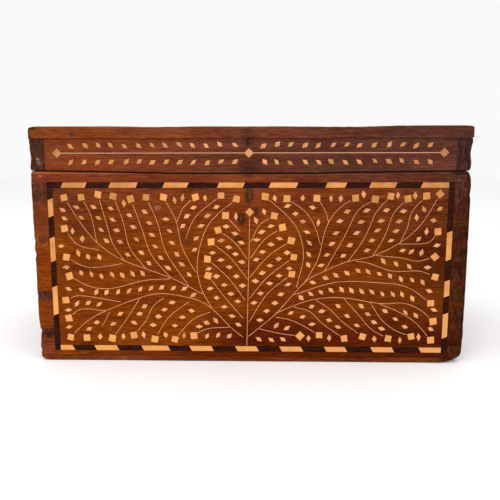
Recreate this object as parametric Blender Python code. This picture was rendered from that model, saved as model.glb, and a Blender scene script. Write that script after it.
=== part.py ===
"""Inlaid wooden box with a lift-off lid, standing on its floor board.

Metres, +Z up. The origin is at the middle of the underside, and the inlaid front faces -Y.
Five boards make the case, joined at the corners by through dovetails. Five more make the lid.
A ring of bone and ebony tiles lies flush in a channel round the face of the front board,
and a bone stem with three square buds in a groove along the front rail of the lid.
"""

import math

import bmesh
import bpy
from mathutils import Matrix, Vector

# Case
case_length = 0.400
case_depth = 0.260
wall_height = 0.1734
wall_thickness = 0.013
floor_thickness = 0.0055

# Lid: four rails under one flat board
lid_rail_height = 0.0294
lid_rail_thickness = 0.013
lid_board_thickness = 0.0110
lid_setback = 0.0003  # how far the rails stand in from the faces of the case
lid_overhang = 0.0012  # how far the board stands out past the rails

# Pieces that touch keep this gap, and a cutter runs this far past what it cuts
fit_gap = 0.0003
overcut = 0.002

# Worn arrises
upright_round = 0.0014
foot_round = 0.0012
rim_round = 0.0006
lid_board_round = 0.0014

# Corners of the case and lid worn to a ball shape, by the length lost along each edge
worn_front_right_foot = 0.014
worn_foot_run_back = 0.040  # how far back the wear of the front right foot runs
worn_front_left_foot = 0.005
worn_front_right_rim = 0.005
worn_lid_corner = 0.003

# Bites out of the two front uprights: radius of the scoop and its depth
left_bite = {"above_ground": 0.0287, "radius": 0.0034, "depth": 0.0020}
right_bite = {"below_rim": 0.0208, "radius": 0.0028, "depth": 0.0013}

# Dovetail pins of a corner: (height as a share of the wall, width at the narrow end)
left_pins = ((0.122, 0.0080), (0.330, 0.0080), (0.627, 0.0090), (0.892, 0.0160))
right_pins = ((0.082, 0.0060), (0.290, 0.0060), (0.509, 0.0060), (0.728, 0.0060))
pin_flare = 0.0009  # what each cheek of a pin gains across the thickness of the wall

# Border of tiles in its channel on the front board
tile_width = 0.0048
tile_thickness = 0.0015
border_land = 0.001  # plain wood between a corner joint and the channel
border_rim_margin = 0.0092
border_foot_margin = 0.0042

# Hand-cut tile lengths from left to right or from top to bottom, stretched to fill their run.
# Ebony and bone take turns.
top_tiles = (
    0.0085, 0.0224, 0.0217, 0.0254, 0.0245, 0.0223, 0.0278, 0.0237,
    0.0234, 0.0251, 0.0263, 0.0180, 0.0215, 0.0237, 0.0227, 0.0246,
)  # fmt: skip
bottom_tiles = (
    0.0128, 0.0208, 0.0218, 0.0234, 0.0257, 0.0203, 0.0212, 0.0224, 0.0204,
    0.0217, 0.0204, 0.0217, 0.0198, 0.0240, 0.0201, 0.0249, 0.0200,
)  # fmt: skip
left_tiles = (0.0151, 0.0164, 0.0193, 0.0227, 0.0239, 0.0275, 0.0350)
right_tiles = (0.0450, 0.0265, 0.0190, 0.0150, 0.0161, 0.0233, 0.0145)
top_slant = 0.0022  # how far an upper corner of a joint between tiles lies right of the lower one
bottom_slant = -0.0026
side_slant = -0.0018

# Bone stem along the front rail of the lid, with a square bud on its corner at each end and
# one in the middle
stem_end_margin = 0.0070  # plain wood between the tip of an outer bud and the side rail
stem_width = 0.0007
stem_thickness = 0.0012
stem_rise = 0.0167  # height of its middle over the foot of the rail
bud_side = 0.0062

# Heights and faces that follow from the sizes above
wall_foot = floor_thickness + fit_gap
rim = wall_foot + wall_height
rail_foot = rim + fit_gap
rail_top = rail_foot + lid_rail_height
board_foot = rail_top + fit_gap
lid_top = board_foot + lid_board_thickness

right_face = case_length / 2
back_face = case_depth / 2
channel_width = tile_width + 2 * fit_gap
channel_depth = tile_thickness + fit_gap
channel_side = right_face - wall_thickness - border_land
channel_top = rim - border_rim_margin
channel_bottom = wall_foot + border_foot_margin

rail_face_x = right_face - lid_setback
rail_face_y = back_face - lid_setback
rail_inner_x = rail_face_x - lid_rail_thickness
rail_inner_y = rail_face_y - lid_rail_thickness
bud_reach = bud_side / math.sqrt(2)
outer_bud_x = rail_inner_x - fit_gap - stem_end_margin - bud_reach

ball_segments = 32


def clear_scene():
    for leftover in list(bpy.data.objects):
        bpy.data.objects.remove(leftover)


def new_collection(name):
    collection = bpy.data.collections.new(name)
    bpy.context.scene.collection.children.link(collection)
    return collection


def new_material(name, color, roughness):
    material = bpy.data.materials.new(name)
    material.use_nodes = True
    shader = material.node_tree.nodes["Principled BSDF"]
    shader.inputs["Base Color"].default_value = (*color, 1.0)
    shader.inputs["Roughness"].default_value = roughness
    shader.inputs["Metallic"].default_value = 0.0
    return material


def new_group(name):
    """An empty that carries the pieces of the case, the lid or the border."""
    group = bpy.data.objects.new(name, None)
    box_pieces.objects.link(group)
    return group


def add_object(name, bm, location, collection, material=None, group=None):
    bmesh.ops.recalc_face_normals(bm, faces=bm.faces)
    mesh = bpy.data.meshes.new(name)
    bm.to_mesh(mesh)
    bm.free()
    obj = bpy.data.objects.new(name, mesh)
    obj.location = location
    obj.parent = group
    collection.objects.link(obj)
    if material:
        mesh.materials.append(material)
    if collection == cutters:
        obj.hide_render = True
        obj.display_type = "WIRE"
    return obj


def block_mesh(low, high):
    """A box around its own middle, as long, deep and high as the space from low to high."""
    bm = bmesh.new()
    bmesh.ops.create_cube(bm, size=1.0)
    bmesh.ops.scale(bm, vec=Vector(high) - Vector(low), verts=bm.verts)
    return bm


def middle(low, high):
    return (Vector(low) + Vector(high)) / 2


def add_block(name, low, high, collection, material=None, group=None):
    return add_object(
        name, block_mesh(low, high), middle(low, high), collection, material, group
    )


def round_edges(bm, keep, radius, segments):
    """Rounds the edges whose two ends both satisfy keep."""
    edges = [edge for edge in bm.edges if all(keep(vert.co) for vert in edge.verts)]
    bmesh.ops.bevel(
        bm, geom=edges, offset=radius, segments=segments, profile=0.5, affect="EDGES"
    )


def rounded_block_mesh(low, high, upright, top, bottom):
    """A box with its four upright edges, its top edges and its bottom edges rounded by their own radius."""
    bm = block_mesh(low, high)
    half_height = (high[2] - low[2]) / 2
    uprights = [
        edge
        for edge in bm.edges
        if abs(edge.verts[0].co.z - edge.verts[1].co.z) > half_height
    ]
    bmesh.ops.bevel(
        bm, geom=uprights, offset=upright, segments=4, profile=0.5, affect="EDGES"
    )
    near = half_height * 0.999
    if top:
        round_edges(bm, lambda point: point.z > near, top, 2)
    if bottom:
        round_edges(bm, lambda point: point.z < -near, bottom, 2)
    return bm


def outline_mesh(points, thickness):
    """A flat sheet with this outline in X and Z, and its thickness along Y."""
    curve = bpy.data.curves.new("outline", "CURVE")
    curve.dimensions = "2D"
    curve.fill_mode = "BOTH"
    curve.extrude = thickness / 2
    spline = curve.splines.new("POLY")
    spline.use_cyclic_u = True
    spline.points.add(len(points) - 1)
    for spline_point, (x, z) in zip(spline.points, points):
        spline_point.co = (x, z, 0.0, 1.0)
    guide = bpy.data.objects.new("outline", curve)
    cutters.objects.link(guide)
    evaluated = guide.evaluated_get(bpy.context.evaluated_depsgraph_get())
    bm = bmesh.new()
    bm.from_mesh(bpy.data.meshes.new_from_object(evaluated))
    bmesh.ops.remove_doubles(bm, verts=bm.verts, dist=1e-6)
    upright = Matrix.Rotation(math.radians(90), 3, "X")
    bmesh.ops.rotate(bm, cent=(0, 0, 0), matrix=upright, verts=bm.verts)
    bpy.data.objects.remove(guide)
    return bm


def boolean(obj, other, operation):
    modifier = obj.modifiers.new(f"{operation.lower()}_{other.name}", "BOOLEAN")
    modifier.operation = operation
    modifier.solver = "EXACT"
    modifier.object = other


def add_ball(name, centre, radius, stretch=1.0):
    bm = bmesh.new()
    bmesh.ops.create_uvsphere(
        bm, u_segments=ball_segments, v_segments=ball_segments // 2, radius=radius
    )
    bmesh.ops.scale(bm, verts=bm.verts[:], vec=(1.0, stretch, 1.0))
    return add_object(name, bm, centre, cutters)


def wear_corner(obj, name, corner, size, run_back=None):
    """Rounds a corner of obj like a ball: the wear starts this far from the corner along each edge.

    run_back is how far it starts from the corner along the edge that runs back, if not size.
    """
    run_back = run_back or size
    inward = Vector([-math.copysign(1.0, value) for value in corner[:2]] + [1.0])
    if corner[2] > 0:
        inward.z = -1.0
    reach = Vector((inward.x * size, inward.y * run_back, inward.z * size))
    outside = -inward * overcut
    low = Vector(map(min, corner + outside, corner + reach))
    high = Vector(map(max, corner + outside, corner + reach))
    room = add_block(f"{name}_room", low, high, cutters)
    ball = add_ball(
        f"{name}_ball", corner + reach, size * math.sqrt(2), run_back / size
    )
    boolean(room, ball, "DIFFERENCE")
    boolean(obj, room, "DIFFERENCE")


def bite_upright(obj, name, side, height, bite):
    """Scoops a bite out of a front upright. side is -1 on the left and 1 on the right."""
    centre_x = side * (right_face - bite["depth"] + bite["radius"])
    ball = add_ball(name, (centre_x, -back_face, height), bite["radius"])
    boolean(obj, ball, "DIFFERENCE")


def pin_bands(pins, depth, grow=0.0):
    """The lowest and highest point of each pin, this deep in the wall that it passes through."""
    bands = []
    for share, width in pins:
        centre = wall_foot + share * wall_height
        half = width / 2 + pin_flare * depth / wall_thickness + grow
        bands.append((centre - half, centre + half))
    return bands


def tail_bands(pins, depth):
    """The spaces below, between and above the pins, this deep in the wall."""
    levels = [wall_foot - overcut]
    for low, high in pin_bands(pins, depth):
        levels += [low, high]
    levels.append(rim + overcut)
    return list(zip(levels[::2], levels[1::2]))


def add_joint_rooms(name, bands_at, x_ends, y_ends, flare_along):
    """A cutter with one tapered block for each band. x_ends and y_ends run from outside the
    corner inwards, and the height of a block changes with the depth along flare_along."""
    along = 0 if flare_along == "X" else 1
    ends = (x_ends, y_ends)[along]
    face = (right_face, back_face)[along]
    outer_bands, inner_bands = (bands_at(face - abs(end)) for end in ends)
    bm = bmesh.new()
    for outer_band, inner_band in zip(outer_bands, inner_bands):
        for vert in bmesh.ops.create_cube(bm, size=1.0)["verts"]:
            x = max(x_ends) if vert.co.x > 0 else min(x_ends)
            y = max(y_ends) if vert.co.y > 0 else min(y_ends)
            low, high = outer_band if (x, y)[along] == ends[0] else inner_band
            vert.co = Vector((x, y, high if vert.co.z > 0 else low))
    return add_object(name, bm, (0, 0, 0), cutters)


def join_corner(side, front, wall, end):
    """Dovetails one corner. side is -1 left or 1 right, and end is -1 front or 1 back.
    On the left the pins are on the side board, and on the right on the front or back board."""
    place = f"{'left' if side < 0 else 'right'}_{'front' if end < 0 else 'back'}"
    outer_x = side * (right_face + overcut)
    outer_y = end * (back_face + overcut)
    through_x = side * (right_face - wall_thickness - overcut)
    through_y = end * (back_face - wall_thickness - overcut)
    stop_x = side * (right_face - wall_thickness - fit_gap)
    stop_y = end * (back_face - wall_thickness - fit_gap)
    if side < 0:
        tail_board, pin_board, pins, flare_along = front, wall, left_pins, "X"
        pin_space = ((outer_x, stop_x), (outer_y, through_y))
        tail_space = ((outer_x, through_x), (outer_y, stop_y))
    else:
        tail_board, pin_board, pins, flare_along = wall, front, right_pins, "Y"
        pin_space = ((outer_x, through_x), (outer_y, stop_y))
        tail_space = ((outer_x, stop_x), (outer_y, through_y))
    pin_rooms = add_joint_rooms(
        f"{place}_pin_rooms",
        lambda depth: pin_bands(pins, depth, fit_gap),
        *pin_space,
        flare_along,
    )
    tail_rooms = add_joint_rooms(
        f"{place}_tail_rooms",
        lambda depth: tail_bands(pins, depth),
        *tail_space,
        flare_along,
    )
    boolean(tail_board, pin_rooms, "DIFFERENCE")
    boolean(pin_board, tail_rooms, "DIFFERENCE")


def make_case_envelope():
    """The outer shape of the worn case, which each of its boards is cut to."""
    low = (-right_face, -back_face, 0.0)
    high = (right_face, back_face, rim)
    bm = rounded_block_mesh(low, high, upright_round, rim_round, foot_round)
    envelope = add_object("case_envelope", bm, middle(low, high), cutters)
    front_right_foot = Vector((right_face, -back_face, 0.0))
    front_left_foot = Vector((-right_face, -back_face, 0.0))
    front_right_rim = Vector((right_face, -back_face, rim))
    wear_corner(
        envelope,
        "front_right_foot",
        front_right_foot,
        worn_front_right_foot,
        worn_foot_run_back,
    )
    wear_corner(envelope, "front_left_foot", front_left_foot, worn_front_left_foot)
    wear_corner(envelope, "front_right_rim", front_right_rim, worn_front_right_rim)
    bite_upright(envelope, "left_bite", -1, left_bite["above_ground"], left_bite)
    bite_upright(envelope, "right_bite", 1, rim - right_bite["below_rim"], right_bite)
    return envelope


def make_case():
    group = new_group("case")
    envelope = make_case_envelope()
    far_x = right_face + overcut
    far_y = back_face + overcut
    inner_x = right_face - wall_thickness
    inner_y = back_face - wall_thickness
    top = rim + overcut

    def board(name, low, high):
        return add_block(name, low, high, box_pieces, wood, group)

    floor = board(
        "floor_board", (-far_x, -far_y, -overcut), (far_x, far_y, floor_thickness)
    )
    front = board("front_board", (-far_x, -far_y, wall_foot), (far_x, -inner_y, top))
    back = board("back_board", (-far_x, inner_y, wall_foot), (far_x, far_y, top))
    left = board("left_board", (-far_x, -far_y, wall_foot), (-inner_x, far_y, top))
    right = board("right_board", (inner_x, -far_y, wall_foot), (far_x, far_y, top))
    for piece in (floor, front, back, left, right):
        boolean(piece, envelope, "INTERSECT")
    join_corner(-1, front, left, -1)
    join_corner(-1, back, left, 1)
    join_corner(1, front, right, -1)
    join_corner(1, back, right, 1)
    return front


def stem_outline(grow):
    """The outline of the stem and its buds, made larger all round by this much."""
    half = stem_width / 2 + grow
    reach = bud_reach + grow * math.sqrt(2)
    upper = []
    for x in (-outer_bud_x, 0.0, outer_bud_x):
        upper += [(x - reach + half, half), (x, reach), (x + reach - half, half)]
    tip = outer_bud_x + reach
    upper = [(-tip, 0.0), *upper[1:-1], (tip, 0.0)]
    return upper + [(x, -z) for x, z in reversed(upper[1:-1])]


def make_lid_stem(group):
    """Makes the stem, and gives back the cutter of its groove."""
    face = -rail_face_y
    height = rail_foot + stem_rise
    stem = outline_mesh(stem_outline(0.0), stem_thickness)
    place = (0.0, face + stem_thickness / 2, height)
    add_object("lid_stem_inlay", stem, place, box_pieces, bone, group)
    groove_depth = stem_thickness + fit_gap
    groove = outline_mesh(stem_outline(fit_gap), groove_depth + overcut)
    place = (0.0, face + (groove_depth - overcut) / 2, height)
    return add_object("stem_groove", groove, place, cutters)


def make_lid():
    group = new_group("lid")
    groove = make_lid_stem(group)
    low = (-rail_face_x, -rail_face_y, rail_foot)
    high = (rail_face_x, rail_face_y, rail_top)
    bm = rounded_block_mesh(low, high, upright_round, 0.0, rim_round)
    envelope = add_object("lid_rail_envelope", bm, middle(low, high), cutters)

    far_x = rail_face_x + overcut
    far_y = rail_face_y + overcut
    between = rail_inner_x - fit_gap
    bottom = rail_foot - overcut
    top = rail_top + overcut
    spans = {
        "lid_left_rail": ((-far_x, -far_y, bottom), (-rail_inner_x, far_y, top)),
        "lid_right_rail": ((rail_inner_x, -far_y, bottom), (far_x, far_y, top)),
        "lid_front_rail": ((-between, -far_y, bottom), (between, -rail_inner_y, top)),
        "lid_back_rail": ((-between, rail_inner_y, bottom), (between, far_y, top)),
    }
    for name, (start, end) in spans.items():
        rail = add_block(name, start, end, box_pieces, wood, group)
        boolean(rail, envelope, "INTERSECT")

    board_x = rail_face_x + lid_overhang
    board_y = rail_face_y + lid_overhang
    low = (-board_x, -board_y, board_foot)
    high = (board_x, board_y, lid_top)
    bm = rounded_block_mesh(low, high, upright_round, lid_board_round, rim_round)
    board = add_object(
        "lid_top_board", bm, middle(low, high), box_pieces, wood, group
    )
    for side, place in ((-1, "left"), (1, "right")):
        corner = Vector((side * board_x, -board_y, lid_top))
        wear_corner(board, f"lid_{place}_corner", corner, worn_lid_corner)
    boolean(bpy.data.objects["lid_front_rail"], groove, "DIFFERENCE")


def cut_channel(board):
    """The ring-shaped channel that the tiles lie in, round the face of the front board."""
    face = -back_face
    ring = add_block(
        "channel_outside",
        (-channel_side, face - overcut, channel_bottom),
        (channel_side, face + channel_depth, channel_top),
        cutters,
    )
    field = add_block(
        "channel_inside",
        (-channel_side + channel_width, face - 2 * overcut, channel_bottom + channel_width),
        (channel_side - channel_width, face + 2 * overcut, channel_top - channel_width),
        cutters,
    )
    boolean(ring, field, "DIFFERENCE")
    boolean(board, ring, "DIFFERENCE")


def add_tile(name, length, start_slant, end_slant, material, group):
    """A tile lying along its own X axis. A slant moves an end's upper corner to +X and its lower one to -X."""
    bm = bmesh.new()
    bmesh.ops.create_cube(bm, size=1.0)
    for vert in bm.verts:
        slant = start_slant if vert.co.x < 0 else end_slant
        vert.co.x = vert.co.x * length + slant * vert.co.z
        vert.co.y *= tile_thickness
        vert.co.z *= tile_width
    return add_object(name, bm, (0, 0, 0), box_pieces, material, group)


def lay_tiles(side, lengths, start, end, first_material, slant, group):
    """Lays one run of tiles from start to end, which are points on the run's middle line."""
    way = end - start
    room = way.length - fit_gap * (len(lengths) - 1)
    stretch = room / sum(lengths)
    turn = math.atan2(-way.z, way.x)
    made = {"ebony": 0, "bone": 0}
    kinds = ("ebony", "bone") if first_material == "ebony" else ("bone", "ebony")
    gone = 0.0
    for number, length in enumerate(lengths):
        kind = kinds[number % 2]
        made[kind] += 1
        long = length * stretch
        tile = add_tile(
            f"{side}_{kind}_tile_{made[kind]}",
            long,
            slant if number > 0 else 0.0,
            slant if number < len(lengths) - 1 else 0.0,
            ebony if kind == "ebony" else bone,
            group,
        )
        tile.location = start + way.normalized() * (gone + long / 2)
        tile.rotation_euler = (0.0, turn, 0.0)
        gone += long + fit_gap


def make_border():
    """Two upright runs over the whole height of the channel, and two level runs between them."""
    group = new_group("border")
    depth = -back_face + tile_thickness / 2
    side = channel_side - channel_width / 2
    top = channel_top - channel_width / 2
    bottom = channel_bottom + channel_width / 2
    high_end = channel_top - fit_gap
    low_end = channel_bottom + fit_gap
    between = channel_side - channel_width
    runs = {
        "top": (top_tiles, (-between, top), (between, top), "ebony", top_slant),
        "bottom": (bottom_tiles, (-between, bottom), (between, bottom), "bone", bottom_slant),
        "left": (left_tiles, (-side, high_end), (-side, low_end), "ebony", side_slant),
        "right": (right_tiles, (side, high_end), (side, low_end), "ebony", side_slant),
    }
    for name, (lengths, start, end, first_material, slant) in runs.items():
        start = Vector((start[0], depth, start[1]))
        end = Vector((end[0], depth, end[1]))
        lay_tiles(name, lengths, start, end, first_material, slant, group)


clear_scene()
box_pieces = new_collection("bone_inlay_box")
cutters = new_collection("cutters")
wood = new_material("rosewood", (0.17, 0.052, 0.016), 0.42)
bone = new_material("bone", (0.72, 0.42, 0.17), 0.38)
ebony = new_material("ebony", (0.022, 0.011, 0.011), 0.40)

make_lid()
front_board = make_case()
cut_channel(front_board)
make_border()
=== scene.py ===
import math
import random

import bmesh
import bpy
from mathutils import Matrix, Vector, noise


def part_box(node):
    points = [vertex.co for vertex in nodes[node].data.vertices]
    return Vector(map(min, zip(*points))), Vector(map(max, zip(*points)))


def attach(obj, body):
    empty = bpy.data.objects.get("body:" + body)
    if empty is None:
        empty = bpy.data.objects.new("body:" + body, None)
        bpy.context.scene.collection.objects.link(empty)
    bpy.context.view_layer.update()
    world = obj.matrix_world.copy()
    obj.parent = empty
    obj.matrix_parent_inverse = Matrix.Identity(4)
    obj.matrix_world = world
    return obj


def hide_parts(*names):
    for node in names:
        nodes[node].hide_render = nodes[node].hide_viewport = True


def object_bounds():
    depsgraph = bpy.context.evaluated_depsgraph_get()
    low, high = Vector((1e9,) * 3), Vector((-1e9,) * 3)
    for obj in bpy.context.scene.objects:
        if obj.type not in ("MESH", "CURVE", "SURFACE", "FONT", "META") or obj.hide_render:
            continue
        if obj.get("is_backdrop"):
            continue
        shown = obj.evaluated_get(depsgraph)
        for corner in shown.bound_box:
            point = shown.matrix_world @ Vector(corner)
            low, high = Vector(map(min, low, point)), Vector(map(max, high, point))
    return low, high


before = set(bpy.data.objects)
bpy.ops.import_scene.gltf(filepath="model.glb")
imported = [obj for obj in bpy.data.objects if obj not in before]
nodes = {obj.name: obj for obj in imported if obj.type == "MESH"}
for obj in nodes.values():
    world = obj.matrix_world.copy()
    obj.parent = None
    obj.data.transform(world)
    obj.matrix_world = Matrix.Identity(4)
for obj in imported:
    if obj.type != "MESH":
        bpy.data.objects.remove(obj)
cadLow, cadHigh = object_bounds()
mm = 0.001  # the inlay is laid out in millimetres, the object is in metres
print("frame loaded:", len(nodes), "nodes")


def addNode(tree, kind, inputs=None, **settings):
    node = tree.nodes.new(kind)
    for name, value in settings.items():
        setattr(node, name, value)
    for name, value in (inputs or {}).items():
        if isinstance(value, bpy.types.NodeSocket):
            tree.links.new(value, node.inputs[name])
        else:
            node.inputs[name].default_value = value
    return node


def sums(tree, operation, first, second=0.0):
    inputs = {0: first, 1: second}
    return addNode(tree, "ShaderNodeMath", inputs, operation=operation).outputs[0]


def moved(tree, operation, first, second):
    inputs = {0: first, 1: second}
    return addNode(tree, "ShaderNodeVectorMath", inputs, operation=operation).outputs[0]


def lengthOf(tree, vector):
    node = addNode(tree, "ShaderNodeVectorMath", {0: vector}, operation="LENGTH")
    return node.outputs["Value"]


def weighed(tree, *terms):
    # the sum of some values, each times its own weight
    total = None
    for value, weight in terms:
        term = sums(tree, "MULTIPLY", value, weight)
        total = term if total is None else sums(tree, "ADD", total, term)
    return total


def mixed(tree, amount, first, second, blend="MIX"):
    node = addNode(tree, "ShaderNodeMix", data_type="RGBA", blend_type=blend)
    for number, value in ((0, amount), (6, first), (7, second)):  # the sockets used for colours
        if isinstance(value, bpy.types.NodeSocket):
            tree.links.new(value, node.inputs[number])
        else:
            colour = (*value, 1) if isinstance(value, tuple) else value
            node.inputs[number].default_value = colour
    return node.outputs[2]


def spread(tree, value, low, high, newLow=0.0, newHigh=1.0):
    inputs = {0: value, 1: low, 2: high, 3: newLow, 4: newHigh}
    return addNode(tree, "ShaderNodeMapRange", inputs, clamp=True).outputs[0]


def mapped(tree, coords, stretch, offset=(0, 0, 0)):
    inputs = {"Vector": coords, "Scale": stretch, "Location": offset}
    return addNode(tree, "ShaderNodeMapping", inputs).outputs[0]


def noiseOn(tree, coords, stretch, detail=3, roughness=0.6, offset=(0, 0, 0)):
    inputs = {"Vector": mapped(tree, coords, stretch, offset), "Scale": 1.0, "Detail": detail,
              "Roughness": roughness}
    return addNode(tree, "ShaderNodeTexNoise", inputs).outputs[0]


waveAtOne = 0.314  # width of one wave of the Wave texture when its scale is 1


def ringsOn(tree, coords, width, distortion, fineness):
    inputs = {"Vector": coords, "Scale": waveAtOne / width, "Distortion": distortion,
              "Detail": 2.0, "Detail Scale": fineness}
    return addNode(tree, "ShaderNodeTexWave", inputs, wave_type="RINGS", rings_direction="X",
                   wave_profile="SAW").outputs[1]


def rampOf(tree, value, places, colours):
    ramp = addNode(tree, "ShaderNodeValToRGB", {0: value})
    while len(ramp.color_ramp.elements) < len(places):
        ramp.color_ramp.elements.new(0.5)
    for element, place, colour in zip(ramp.color_ramp.elements, places, colours):
        element.position, element.color = place, (*colour, 1.0)
    return ramp.outputs[0]


def onPoints(tree, name):
    # a value that the mesh keeps on its points
    return addNode(tree, "ShaderNodeAttribute", attribute_name=name).outputs["Fac"]


def roughen(tree, shader, height, strength, depth):
    inputs = {"Height": height, "Strength": strength, "Distance": depth}
    bump = addNode(tree, "ShaderNodeBump", inputs).outputs[0]
    tree.links.new(bump, shader.inputs["Normal"])


def newMaterial(name, roughness, specular):
    material = bpy.data.materials.new(name)
    material.use_nodes = True
    tree = material.node_tree
    shader = tree.nodes["Principled BSDF"]
    shader.inputs["Roughness"].default_value = roughness
    shader.inputs["Specular IOR Level"].default_value = specular
    return material, tree, shader


def finish(piece, material):
    # the piece gets this one material on all its faces, the CAD tiles and the lid's stem too
    piece.data.materials.clear()
    piece.data.materials.append(material)
    for polygon in piece.data.polygons:
        polygon.material_index = 0


def settled(bm, name):
    # the finished mesh as an object of the scene
    mesh = bpy.data.meshes.new(name)
    bm.to_mesh(mesh)
    bm.free()
    piece = bpy.data.objects.new(name, mesh)
    bpy.context.scene.collection.objects.link(piece)
    return piece


# the edge of a mark: grain and depth of its raggedness, and where the mark is at full strength
markEdge = {"grain": (420, 420, 420), "ragged": 0.9, "full": 0.45}


def spot(tree, place, front, mark):
    # how deep in a mark a point lies: its strength at the middle, 0 outside its ragged edge
    wide, high = mark["wide"] * mm, mark["high"] * mm
    middle = (-mark["x"] * mm / wide, 0, -mark["z"] * mm / high)
    away = lengthOf(tree, mapped(tree, place, (1 / wide, 0, 1 / high), middle))
    ragged = sums(tree, "SUBTRACT", noiseOn(tree, place, markEdge["grain"]), 0.5)
    away = weighed(tree, (away, 1.0), (ragged, markEdge["ragged"]))
    depth = spread(tree, away, 1.0, markEdge["full"], 0.0, mark["dark"])
    return sums(tree, "MULTIPLY", depth, front)


wood = {
    "roughness": 0.46, "specular": 0.025, "bump": 0.35, "bumpDepth": 0.0003,
    "hands": (30, 30, 30), "handEdge": (0.3, 0.7), "handled": (-0.06, 0.12),  # in the roughness
    # the figure, from broad bands to pores: width, length along the grain, detail, roughness
    "bands": (0.015, 0.055, 2, 0.5), "streaks": (0.0034, 0.09, 2, 0.6),
    "fibres": (0.0010, 0.011, 2, 0.7), "pores": (0.0006, 0.006, 1, 0.5),
    "rings": {"width": 0.0052, "distortion": 3.0, "fineness": 0.6}, "ringStretch": 0.12,
    "shares": (0.26, 0.14, 0.51, 0.04),  # what bands, streaks, fibres and rings give to the tone
    "stops": (0.37, 0.48, 0.60),  # where on the tone the dark, middle and light colours stand
    "poreEdge": (0.58, 0.70), "poreDepth": 0.45, "poreShade": 0.35,
    "relief": (0.5, 0.6, -0.5),  # what fibres, streaks and pores give to the relief
    "wander": (7, 22, 22), "wanderDetail": 1.5, "wanderBy": 0.011,  # of the fibres on their way
    # end grain: a mottle, and the edges of the year rings, which fade away from the heart
    "mottle": (0.0030, 0.0062), "mottleDepth": 150, "mottleDetail": (5, 0.72),
    "endStops": (0.39, 0.50, 0.61),
    "endRings": {"width": 0.0023, "distortion": 3.0, "fineness": 0.5},
    "ringEdge": (0.60, 0.95), "ringFade": (0.008, 0.022, 0.48, 0.12), "ringPale": 1.6,
    "endTurn": (0.6, 0.85),  # how squarely a face has to meet the grain to be end grain
    "wornEdge": (0.3, 0.55, 0.3, 1.0),  # how the streaks break up the bare wood
    "front": (-0.120, -0.126),  # the marks are on the front alone
    # colours of bare wood, with a painted highlight on the rim below the gap, of the painted shade
    # in the gap between lid and case, and of stains and painted shade in the marks
    "bareAndHighlight": (0.33, 0.115, 0.042), "paintedGapShade": (0.012, 0.005, 0.004), "stainAndShade": (0.016, 0.008, 0.004),
}


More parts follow.
